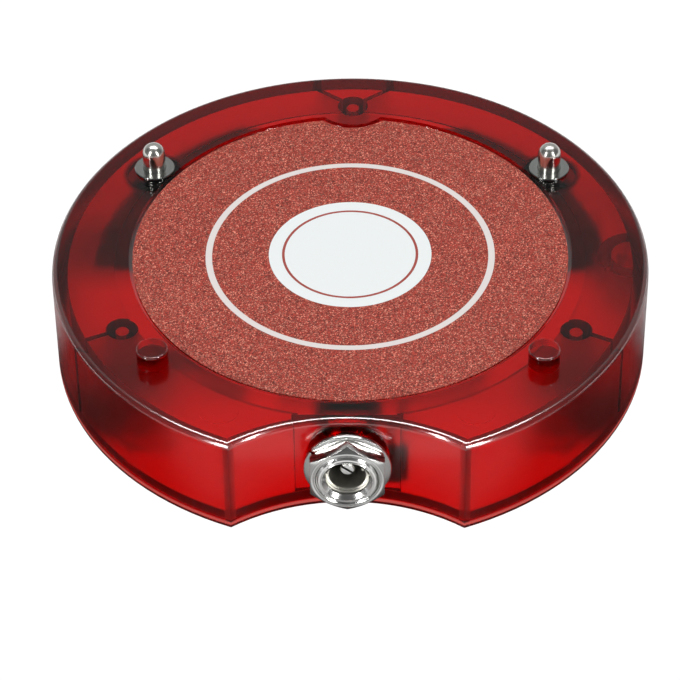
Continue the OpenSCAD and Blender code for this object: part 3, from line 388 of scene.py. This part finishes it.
def red_plastic(name, frosting, frost_from):
    material, tree, shader = new_finish(name, plastic_tint, outside_rough)
    shader.inputs["IOR"].default_value = plastic_ior
    shader.inputs["Transmission Weight"].default_value = 1.0
    place = put(tree, "TexCoord").outputs["Object"]
    inside = use_group(tree, inside_group, Place=place)["Inside"]
    outside = worked(tree, "SUBTRACT", 1.0, inside)
    height = along_axis(tree, place, "Z")
    folded = put(tree, "VectorMath", {"operation": "ABSOLUTE"}, {0: place}).outputs[0]
    sides = {"X": along_axis(tree, folded, "X"), "Y": along_axis(tree, place, "Y")}
    half = put(tree, "CombineXYZ", inputs=sides).outputs[0]

    # Roughness: satin outside, frosted inside, and polished posts
    grain = use_group(tree, grain_group, Place=place, Grains=plastic_grains)
    spread = (outside_rough + step for step in satin_spread)
    satin = ramped(tree, grain["Cloud"], *cloud_middle, *spread)
    on_rim = banded(tree, height, rim_from, rim_to)
    satin = worked(tree, "MAXIMUM", satin, worked(tree, "MULTIPLY", on_rim, rim_rough))
    worn = ramped(tree, away(tree, half, corner_edge), *corner_edge_reach, 1.0, 0.0)
    satin = worked(tree, "MAXIMUM", satin, worked(tree, "MULTIPLY", worn, corner_edge_rough))
    on_post = ramped(tree, height, shell_round_top, shell_round_top + skin)
    off_post = worked(tree, "MULTIPLY", satin, worked(tree, "SUBTRACT", 1.0, on_post))
    satin = worked(tree, "ADD", off_post, worked(tree, "MULTIPLY", on_post, post_rough))
    frosted = ramped(tree, height, frost_from - skin, frost_from, *frosting)
    at_corner = ramped(tree, away(tree, half, corner_at), *corner_reach, 1.0, 0.0)
    frosted = worked(tree, "MAXIMUM", frosted, worked(tree, "MULTIPLY", at_corner, corner_rough))
    rough = worked(tree, "MULTIPLY", satin, outside)
    rough = worked(tree, "ADD", rough, worked(tree, "MULTIPLY", frosted, inside))
    tree.links.new(rough, shader.inputs["Roughness"])
    raised(tree, shader, grain["Grain"], plastic_grain_depth)

    # A bright coat on the edges of the rim and of the posts
    on_edge = banded(tree, height, post_edge_from, post_edge_to)
    coat = worked(tree, "MULTIPLY", worked(tree, "MAXIMUM", on_rim, on_edge), outside)
    tree.links.new(coat, shader.inputs["Coat Weight"])
    shader.inputs["Coat Roughness"].default_value = coat_rough
    shader.inputs["Coat IOR"].default_value = coat_ior

    # Painted shade at the seam, round the board's ends and the pins' bosses, at the foot and on the posts
    seam = worked(tree, "MULTIPLY", banded(tree, height, seam_low, seam_high), inside)
    tint = blended(tree, seam, (*plastic_tint, 1), seam_painted_shade)
    # Painted shade round the board's ends
    by_board = ramped(tree, away(tree, half, board_end_at), *board_end_shade, board_end_depth, 0.0)
    by_board = worked(tree, "MULTIPLY", by_board, ramped(tree, height, *under_plate))
    off_key = ramped(tree, along_axis(tree, place, "X"), *key_clear, 1.0, 0.0)
    by_board = worked(tree, "MULTIPLY", by_board, off_key)
    tint = blended(tree, worked(tree, "MULTIPLY", by_board, inside), tint, shade_tint)
    # Painted shade round the pins' bosses
    by_pin = ramped(tree, away(tree, half, pin_boss_at), *pin_boss_shade, 1.0, 0.0)
    tint = blended(tree, worked(tree, "MULTIPLY", by_pin, inside), tint, pin_boss_painted_shade)
    # Painted shade: a dark band on the outside at the foot
    by_foot = banded(tree, height, foot_dark_low, foot_dark_high)
    tint = blended(tree, worked(tree, "MULTIPLY", by_foot, outside), tint, foot_painted_shade)
    # Painted shade: the posts are darker than the rest of the same plastic
    tint = blended(tree, on_post, tint, post_painted_shade)
    tree.links.new(tint, shader.inputs["Base Color"])

    # The foot's pale line, a painted glow, and the dye in the plastic
    glow = worked(tree, "MULTIPLY", banded(tree, height, glow_low, glow_high), outside)
    tree.links.new(blended(tree, glow, (0, 0, 0, 1), foot_glow), shader.inputs["Emission Color"])
    shader.inputs["Emission Strength"].default_value = 1.0
    dye = put(tree, "VolumeAbsorption", inputs={"Color": dye_color, "Density": dye_density})
    tree.links.new(dye.outputs[0], tree.nodes["Material Output"].inputs["Volume"])
    return material


dress(red_plastic("clear_red_plastic", (wall_rough, plate_rough), plate_under), "top_shell")

# Bottom cover
# A flat moulding of the same red plastic that plugs into the top shell from below. Its edge is
# smooth, so the light that enters it there stays in it, and it shows as a dark band at the foot;
# painted shade on the foot's outside deepens that band.
cover_thick = 2.2 * MM
edge_rough = 0.1
dress(red_plastic("cover_red_plastic", (edge_rough, wall_rough), cover_thick), "bottom_cover")

# Label
# A printed film, sunk flush in its recess: brick-red ink with fine pale flakes, a white disc in the
# middle with one thin red ring in it, and a wide white ring round it. Its writing is left off.
label_rings = (
    (24.3 * MM, "ring"),
    (23.2 * MM, "ground"),
    (13.67 * MM, "disc"),
    (11.45 * MM, "line"),
    (11.0 * MM, "disc"),
)
label_inks = {
    "ground": (0.335, 0.037, 0.024, 1),
    "ring": (0.78, 0.72, 0.7, 1),
    "disc": (0.86, 0.895, 0.895, 1),
    "line": (0.38, 0.07, 0.055, 1),
}
flake_color = (0.85, 0.38, 0.27, 1)
flake_scale = 6200.0
flake_share = 0.6
ink_shade = (0.36, 1.54)
film_rough = 0.55
film_gloss = 0.3
film_grains = 4200.0
film, tree, shader = new_finish("printed_film", (0.4, 0.08, 0.06), film_rough)
shader.inputs["Specular IOR Level"].default_value = film_gloss
place = put(tree, "TexCoord").outputs["Object"]
label_low, label_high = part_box("label_film")
middle = (0, (label_low.y + label_high.y) / 2, 0)
centring = {"Vector": place, "Location": -Vector(middle), "Scale": (1, 1, 0)}
flat = put(tree, "Mapping", {"vector_type": "POINT"}, centring).outputs[0]
reach = reach_of(tree, flat)
grain = use_group(tree, grain_group, Place=place, Grains=film_grains)
flakes = put(tree, "TexVoronoi", inputs={"Vector": place, "Scale": flake_scale}).outputs["Color"]
flakes = put(tree, "SeparateColor", inputs={0: flakes}).outputs
pale = ramped(tree, flakes["Red"], 0.6, 1.0, 0.0, flake_share)
dark = ramped(tree, flakes["Green"], 0.0, 1.0, *ink_shade)
ground = blended(tree, pale, label_inks["ground"], flake_color)
shade = put(tree, "VectorMath", {"operation": "SCALE"}, {0: ground, "Scale": dark}).outputs[0]
ink = shade
for radius, kind in label_rings:
    inner = worked(tree, "LESS_THAN", reach, radius)
    ink = blended(tree, inner, ink, shade if kind == "ground" else label_inks[kind])
tree.links.new(ink, shader.inputs["Base Color"])
raised(tree, shader, grain["Grain"], 0.006 * MM)
dress(film, "label_film")

# Case screws
# Three pan-head screws of zinc-plated steel, turned and then rolled, with a cross recess.
patch_scale = 400.0
patch_middle = (0.3, 0.7)
patch_rough = (0.75, 1.35)
ring_middle = (0.35, 0.65)
dull_share = 0.86
turned_group, taken, given = new_group(
    "turned_marks",
    [("Place", "Vector", None), ("Spacing", "Float", 0.0002)],
    [("Rings", "Float"), ("Patch", "Float")],
)
axes = put(turned_group, "SeparateXYZ", inputs={0: taken["Place"]}).outputs
flat = put(turned_group, "CombineXYZ", inputs={"X": axes["X"], "Y": axes["Y"]}).outputs[0]
across = worked(turned_group, "DIVIDE", reach_of(turned_group, flat), taken["Spacing"])
along = worked(turned_group, "DIVIDE", axes["Z"], taken["Spacing"])
lines = put(turned_group, "CombineXYZ", inputs={"X": across, "Y": along}).outputs[0]
rings = put(turned_group, "TexNoise", inputs={"Vector": lines, "Scale": 1.0, "Detail": 2.0}).outputs["Fac"]
turned_group.links.new(rings, given["Rings"])
sizes = {"Vector": taken["Place"], "Scale": patch_scale, "Detail": 3.0}
patch = put(turned_group, "TexNoise", inputs=sizes).outputs["Fac"]
turned_group.links.new(patch, given["Patch"])


def turned_metal(name, color, roughness, middle=(0, 0, 0), tilt=0.0, spacing=0.00015, depth=0.000004):
    material, tree, shader = new_finish(name, color, roughness, 1.0)
    place = put(tree, "TexCoord").outputs["Object"]
    centring = {"Vector": place, "Location": middle, "Rotation": (tilt, 0, 0)}
    centred = put(tree, "Mapping", {"vector_type": "TEXTURE"}, centring)
    marks = use_group(tree, turned_group, Place=centred.outputs[0], Spacing=spacing)
    spread = (roughness * share for share in patch_rough)
    rough = ramped(tree, marks["Patch"], *patch_middle, *spread)
    tree.links.new(rough, shader.inputs["Roughness"])
    dull = tuple(dull_share * part for part in color)
    tone = blended(tree, ramped(tree, marks["Rings"], *ring_middle), (*dull, 1), (*color, 1))
    tree.links.new(tone, shader.inputs["Base Color"])
    raised(tree, shader, marks["Rings"], depth)
    return material


dress(turned_metal("zinc_plated_steel", (0.62, 0.63, 0.66), 0.28), "case_screws", "board_screws")

# Charging pins and their barrels
# Turned from brass rod and nickel plated. Each pin slides in a flanged barrel that sits in a boss.
for side in ("left", "right"):
    low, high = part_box("charge_pin_" + side)
    middle = ((low.x + high.x) / 2, (low.y + high.y) / 2, high.z)
    dress(turned_metal("bright_nickel_" + side, (0.76, 0.75, 0.71), 0.22, middle), "charge_pin_" + side)
    dress(turned_metal("dull_nickel_" + side, (0.5, 0.52, 0.5), 0.16, middle), "pin_barrel_" + side)

# Nuts and contact plates of the charging pins
# Brass that is left bare, so that wires can be soldered to it.
brass = turned_metal("bare_brass", (0.72, 0.5, 0.22), 0.25)
dress(brass, "pin_nut_left", "pin_nut_right", "contact_plate_left", "contact_plate_right")

# Power socket, its split washer and its nut
# All are turned from brass rod and nickel plated. The barrel has a fine thread, the nut is chamfered
# on both faces, and the washer is stamped, with a slanted split and rounded edges.
nut_low, nut_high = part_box("socket_nut")
barrel_low, barrel_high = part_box("socket_barrel")
washer_low, washer_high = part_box("lock_washer")
socket_x = (nut_low.x + nut_high.x) / 2
socket_z = (nut_low.z + nut_high.z) / 2
nut_flats = nut_high.x - nut_low.x
nut_thick = nut_high.y - nut_low.y
thread_crest = 5 * MM
thread_root = 4.6 * MM
thread_pitch = 0.75 * MM
bore = 3.5 * MM
liner_end = -34 * MM
turned_steps = 96
liner_color = (0.8, 0.78, 0.7, 1)
liner_rough = 0.38
split_gap = 0.5 * MM
smooth_under = math.radians(35)
weld_within = 1e-7
tooth_rise = 0.42
tooth_flat = 0.08
first_whole_turn = 1.503
blank_face = (4.15 * MM, 4.3 * MM, 4.62 * MM, 4.7 * MM)
blank_step = 0.12 * MM
blank_lead = 0.04 * MM
blank_r = 5.2 * MM
blank_chamfer = 0.5 * MM
bore_flare = 1.6 * MM
bore_flare_depth = 0.6 * MM
washer_gap = 0.1 * MM


def clear_selection():
    bpy.ops.object.select_all(action="DESELECT")


def turned(name, outline, steps=turned_steps, rise=0.0, turns=1, closed=True):
    count = len(outline)
    edges = [(i, (i + 1) % count) for i in range(count if closed else count - 1)]
    mesh = bpy.data.meshes.new(name)
    mesh.from_pydata([(r, 0, z) for r, z in outline], edges, [])
    piece = bpy.data.objects.new(name, mesh)
    bpy.context.scene.collection.objects.link(piece)
    clear_selection()
    piece.select_set(True)
    bpy.context.view_layer.objects.active = piece
    lathe = piece.modifiers.new("lathe", "SCREW")
    lathe.steps = lathe.render_steps = steps
    lathe.screw_offset = rise
    lathe.iterations = turns
    lathe.use_merge_vertices = True
    lathe.merge_threshold = weld_within
    bpy.ops.object.modifier_apply(modifier="lathe")
    bpy.ops.object.mode_set(mode="EDIT")
    bpy.ops.mesh.select_all(action="SELECT")
    bpy.ops.mesh.remove_doubles(threshold=weld_within)
    bpy.ops.mesh.normals_make_consistent(inside=False)
    bpy.ops.object.mode_set(mode="OBJECT")
    return piece


def threaded(name, root, crest, pitch, length):
    turns = math.ceil(length / pitch) + 3
    flank = (crest - pitch * tooth_flat, pitch * tooth_rise)
    tooth = [(root, 0), flank, (crest, pitch * 0.5), (root, pitch)]
    piece = turned(name, tooth, 48, pitch, turns, closed=False)
    bpy.ops.object.mode_set(mode="EDIT")
    start = pitch * first_whole_turn
    for height, outer in ((start, False), (start + length, True)):
        bpy.ops.mesh.select_all(action="SELECT")
        bpy.ops.mesh.bisect(
            plane_co=(0, 0, height), plane_no=(0, 0, 1), threshold=weld_within,
            use_fill=True, clear_inner=not outer, clear_outer=outer,
        )
    bpy.ops.mesh.select_all(action="SELECT")
    bpy.ops.transform.translate(value=(0, 0, -start))
    bpy.ops.mesh.normals_make_consistent(inside=False)
    bpy.ops.object.mode_set(mode="OBJECT")
    return piece


def combine(piece, other, operation):
    clear_selection()
    piece.select_set(True)
    bpy.context.view_layer.objects.active = piece
    step = piece.modifiers.new("combine", "BOOLEAN")
    step.operation = operation
    step.solver = "EXACT"
    step.object = other
    bpy.ops.object.modifier_apply(modifier="combine")
    bpy.data.objects.remove(other, do_unlink=True)
    return piece


def placed(piece, location, rotation=(0, 0, 0)):
    clear_selection()
    piece.select_set(True)
    bpy.context.view_layer.objects.active = piece
    piece.location = location
    piece.rotation_euler = rotation
    bpy.ops.object.transform_apply(location=True, rotation=True, scale=True)
    return piece


def eased(piece, width, segments=2, angle=math.radians(28)):
    clear_selection()
    piece.select_set(True)
    bpy.context.view_layer.objects.active = piece
    step = piece.modifiers.new("ease", "BEVEL")
    step.width = width
    step.segments = segments
    step.limit_method = "ANGLE"
    step.angle_limit = angle
    step.harden_normals = False
    bpy.ops.object.modifier_apply(modifier="ease")
    bpy.ops.object.shade_smooth_by_angle(angle=smooth_under)
    return piece


def finish_piece(piece, material, slot, body, *nodes):
    piece.data.materials.clear()
    piece.data.materials.append(material)
    clear_selection()
    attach(piece, body)
    if nodes:
        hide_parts(*nodes)


face_y = math.pi / 2
plated = turned_metal(
    "plated_socket_metal", (0.86, 0.86, 0.84), 0.18, (socket_x, nut_low.y, socket_z), face_y, 0.0002, 0.000006
)

# The nut is a lathe-cut drum, with its chamfers and a ring on its face, that is then cut to six flats
corner = nut_flats / math.sqrt(3)
chamfer_r = 0.975 * nut_flats / 2
chamfer_h = (corner - chamfer_r) * math.tan(math.radians(30))
ring_r = 5.5 * MM
ring_w = 0.18 * MM
bore_ease = 0.25 * MM
nut = turned("hexagon_nut", [
    (thread_crest + 0.05 * MM, bore_ease), (thread_crest + bore_ease, 0), (ring_r - ring_w, 0),
    (ring_r, ring_w * 0.6), (ring_r + ring_w, 0), (chamfer_r, 0), (corner, chamfer_h),
    (corner, nut_thick - chamfer_h), (chamfer_r, nut_thick),
    (thread_crest + bore_ease, nut_thick), (thread_crest + 0.05 * MM, nut_thick - bore_ease),
])
clear_selection()
bpy.ops.mesh.primitive_cylinder_add(vertices=6, radius=corner, depth=4 * nut_thick)
hexagon = bpy.context.object
nut = combine(nut, hexagon, "INTERSECT")
nut = placed(eased(nut, 0.05 * MM), (socket_x, nut_low.y, socket_z), (-face_y, 0, 0))
finish_piece(nut, plated, "nickel", "root", "socket_nut")

# The washer is stamped from strip, and its split is cut at a slant
washer_r = (washer_high.x - washer_low.x) / 2
washer_t = washer_high.y - washer_low.y
edge_r = 0.3 * MM
washer = turned("split_washer", [
    (thread_crest + washer_gap, edge_r / 2), (thread_crest + washer_gap + edge_r / 2, 0),
    (washer_r - edge_r, 0), (washer_r - 0.3 * edge_r, 0.3 * edge_r), (washer_r, edge_r),
    (washer_r, washer_t - edge_r), (washer_r - edge_r, washer_t),
    (thread_crest + washer_gap + edge_r / 2, washer_t),
    (thread_crest + washer_gap, washer_t - edge_r / 2),
])
split_turn = math.radians(148)
split_slant = math.radians(25)
clear_selection()
bpy.ops.mesh.primitive_cube_add(size=1, scale=(washer_r, split_gap, 4 * washer_t))
cutter = bpy.context.object
at_split = Vector((math.cos(split_turn), -math.sin(split_turn), 0)) * (thread_crest + washer_r) * 0.6
cutter = placed(cutter, (0, 0, 0), (split_slant, 0, 0))
cutter = placed(cutter, at_split + Vector((0, 0, washer_t / 2)), (0, 0, -split_turn))
washer = combine(washer, cutter, "DIFFERENCE")
washer = placed(eased(washer, 0.04 * MM), (socket_x, washer_low.y, socket_z), (-face_y, 0, 0))
finish_piece(washer, plated, "nickel", "root", "lock_washer")

# The barrel is threaded all along, faced off with two small steps, and bored
barrel_len = barrel_high.y - barrel_low.y
flange_t = 1.2 * MM
barrel = threaded("threaded_barrel", thread_root, thread_crest, thread_pitch, barrel_len - flange_t)
blank = turned("blank", [
    (0, 0), (blank_face[0], 0), (blank_face[1], blank_step), (blank_face[2], blank_step),
    (blank_face[3], blank_lead), (blank_r, blank_chamfer), (blank_r, barrel_len), (0, barrel_len),
], closed=False)
barrel = combine(barrel, blank, "INTERSECT")
flats = (barrel_high.z - barrel_low.z) / 2
flange_r = barrel_high.x - socket_x
flange = turned("flange", [
    (0, barrel_len - flange_t), (flange_r, barrel_len - flange_t),
    (flange_r, barrel_len), (0, barrel_len),
], closed=False)
clear_selection()
bpy.ops.mesh.primitive_cube_add(size=1, scale=(4 * flange_r, 2 * flats, 4 * barrel_len))
flange = combine(flange, bpy.context.object, "INTERSECT")
barrel = combine(barrel, flange, "UNION")
bore_tool = turned("bore_tool", [
    (0, -1 * MM), (bore + bore_flare, -1 * MM), (bore, bore_flare_depth),
    (bore, 2 * barrel_len), (0, 2 * barrel_len),
], closed=False)
barrel = combine(barrel, bore_tool, "DIFFERENCE")
barrel = placed(eased(barrel, 0.02 * MM, 1), (socket_x, barrel_low.y, socket_z), (-face_y, 0, 0))
finish_piece(barrel, plated, "nickel", "root", "socket_barrel")
dress(plated, "socket_center_pin", "socket_contact")


def black_nylon(name, color, roughness):
    material, tree, shader = new_finish(name, color, roughness)
    place = put(tree, "TexCoord").outputs["Object"]
    grain = use_group(tree, grain_group, Place=place, Grains=3000.0)
    rough = ramped(tree, grain["Cloud"], 0.3, 0.7, roughness - 0.1, roughness + 0.1)
    tree.links.new(rough, shader.inputs["Roughness"])
    lighter = tuple(1.6 * part for part in color)
    tone = blended(tree, ramped(tree, grain["Grain"], 0.3, 0.7), (*color, 1), (*lighter, 1))
    tree.links.new(tone, shader.inputs["Base Color"])
    raised(tree, shader, grain["Grain"], 0.01 * MM)
    return material


socket_body = black_nylon("black_socket_body", (0.018, 0.018, 0.02), 0.4)
tree = socket_body.node_tree
shader = tree.nodes["Principled BSDF"]
place = put(tree, "TexCoord").outputs["Object"]
options = {"operation": "MULTIPLY_ADD"}
flat = put(tree, "VectorMath", options, {0: place, 1: (1, 0, 1), 2: (-socket_x, 0, -socket_z)}).outputs[0]
in_bore = worked(tree, "LESS_THAN", reach_of(tree, flat), bore)
in_front = worked(tree, "LESS_THAN", along_axis(tree, place, "Y"), liner_end)
in_liner = worked(tree, "MULTIPLY", in_bore, in_front)
tree.links.new(in_liner, shader.inputs["Metallic"])
before = shader.inputs["Base Color"].links[0].from_socket
tree.links.new(blended(tree, in_liner, before, liner_color), shader.inputs["Base Color"])
before = shader.inputs["Roughness"].links[0].from_socket
tree.links.new(ramped(tree, in_liner, 0.0, 1.0, before, liner_rough), shader.inputs["Roughness"])
dress(socket_body, "socket_insulator")

# Springs of the charging pins
# Each is wound from hard-drawn steel wire with closed ends.
spring_wire_r = 0.2 * MM
spring_coils = 5
closed_ends = 6
coil_steps = 32
wound_steel = turned_metal("wound_spring_steel", (0.42, 0.42, 0.43), 0.3)
for side in ("left", "right"):
    spring_low, spring_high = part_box("pin_spring_" + side)
    pin_low, pin_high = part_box("charge_pin_" + side)
    foot = Vector(((pin_low.x + pin_high.x) / 2, (pin_low.y + pin_high.y) / 2, spring_low.z))
    spring_r = (spring_high.x - spring_low.x) / 2 - spring_wire_r
    spring_len = spring_high.z - spring_low.z
    rise = (spring_len - closed_ends * spring_wire_r) / spring_coils
    curve = bpy.data.curves.new("wound_spring_" + side, "CURVE")
    curve.dimensions = "3D"
    curve.bevel_depth = spring_wire_r
    curve.bevel_resolution = 2
    curve.use_fill_caps = True
    line = curve.splines.new("POLY")
    count = (spring_coils + 2) * coil_steps
    line.points.add(count)
    for step in range(count + 1):
        turn = step / coil_steps
        closed = min(turn, 1) + max(turn - spring_coils - 1, 0)
        height = spring_wire_r * (1 + 2 * closed) + rise * (turn - closed)
        angle = 2 * math.pi * turn
        line.points[step].co = (spring_r * math.cos(angle), spring_r * math.sin(angle), height, 1)
    spring = bpy.data.objects.new("wound_spring_" + side, curve)
    bpy.context.scene.collection.objects.link(spring)
    clear_selection()
    spring.select_set(True)
    bpy.context.view_layer.objects.active = spring
    bpy.ops.object.convert(target="MESH")
    spring = placed(bpy.context.object, foot)
    bpy.ops.object.shade_smooth_by_angle(angle=smooth_under)
    finish_piece(spring, wound_steel, "spring_steel", "root", "pin_spring_" + side)
    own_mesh(spring)

# Circuit board
# Glass-fibre board with green lacquer over its copper tracks.
track_cells = 260.0
track_edge = (0.04, 0.07)
bare_green = (0.008, 0.07, 0.03, 1)
track_green = (0.03, 0.17, 0.07, 1)
lacquer, tree, shader = new_finish("green_lacquer", (0.01, 0.09, 0.04), 0.3)
place = put(tree, "TexCoord").outputs["Object"]
options = {"feature": "DISTANCE_TO_EDGE"}
cells = put(tree, "TexVoronoi", options, {"Vector": place, "Scale": track_cells, "Randomness": 0.55})
track = ramped(tree, cells.outputs["Distance"], *track_edge, 1.0, 0.0)
tone = blended(tree, track, bare_green, track_green)
tree.links.new(tone, shader.inputs["Base Color"])
raised(tree, shader, track, 0.03 * MM)
dress(lacquer, "main_board")

# Chips, crystal, sounder and lamps on the board
# Moulded black packages with tinned legs, a drawn metal can, and white lamps with clear lenses.
dress(black_nylon("chip_black", (0.02, 0.02, 0.022), 0.5), "controller_chip", "receiver_module")
dress(black_nylon("sounder_black", (0.015, 0.015, 0.015), 0.35), "buzzer")
dress(turned_metal("crystal_can_metal", (0.75, 0.75, 0.74), 0.2), "crystal_can")
dress(turned_metal("copper_wire", (0.8, 0.36, 0.2), 0.25), "antenna_coil")


def pale_plastic(name, color, roughness):
    material, tree, shader = new_finish(name, color, roughness)
    place = put(tree, "TexCoord").outputs["Object"]
    grain = use_group(tree, grain_group, Place=place, Grains=1800.0)
    darker = tuple(0.85 * part for part in color)
    tone = blended(tree, ramped(tree, grain["Cloud"], 0.35, 0.65), (*darker, 1), (*color, 1))
    tree.links.new(tone, shader.inputs["Base Color"])
    raised(tree, shader, grain["Grain"], 0.01 * MM)
    return material


dress(pale_plastic("lamp_white", (0.75, 0.73, 0.66), 0.3), "rim_leds")

# Battery
# A pouch cell in crimped foil, on foam tape, with a nylon plug on its lead.
dress(turned_metal("cell_foil", (0.7, 0.71, 0.73), 0.35), "battery")
dress(pale_plastic("foam_tape", (0.72, 0.71, 0.68), 0.8), "battery_tape")
dress(pale_plastic("plug_nylon", (0.8, 0.77, 0.68), 0.4), "battery_plug")

# Vibration motor
# A drawn steel can, and a half-round weight of sintered tungsten pressed on the shaft.
dress(turned_metal("motor_can_steel", (0.7, 0.7, 0.7), 0.22), "motor_case", "motor_shaft")
dress(turned_metal("tungsten", (0.4, 0.39, 0.37), 0.4), "motor_weight")

# Power switch
# A slide switch: a folded steel frame with a black nylon knob.
dress(turned_metal("switch_steel", (0.66, 0.66, 0.66), 0.25), "switch_frame")
dress(black_nylon("knob_black", (0.02, 0.02, 0.02), 0.45), "switch_slider")

# Wires
# Stranded wires in red insulation.
insulation, tree, shader = new_finish("red_insulation", (0.5, 0.02, 0.02), 0.35)
place = put(tree, "TexCoord").outputs["Object"]
grain = use_group(tree, grain_group, Place=place, Grains=1500.0)
tone = blended(tree, grain["Cloud"], (0.4, 0.012, 0.012, 1), (0.6, 0.03, 0.03, 1))
tree.links.new(tone, shader.inputs["Base Color"])
raised(tree, shader, grain["Grain"], 0.01 * MM)
dress(insulation, "battery_wires", "socket_wires", "motor_wires", "contact_wires", "switch_wires")
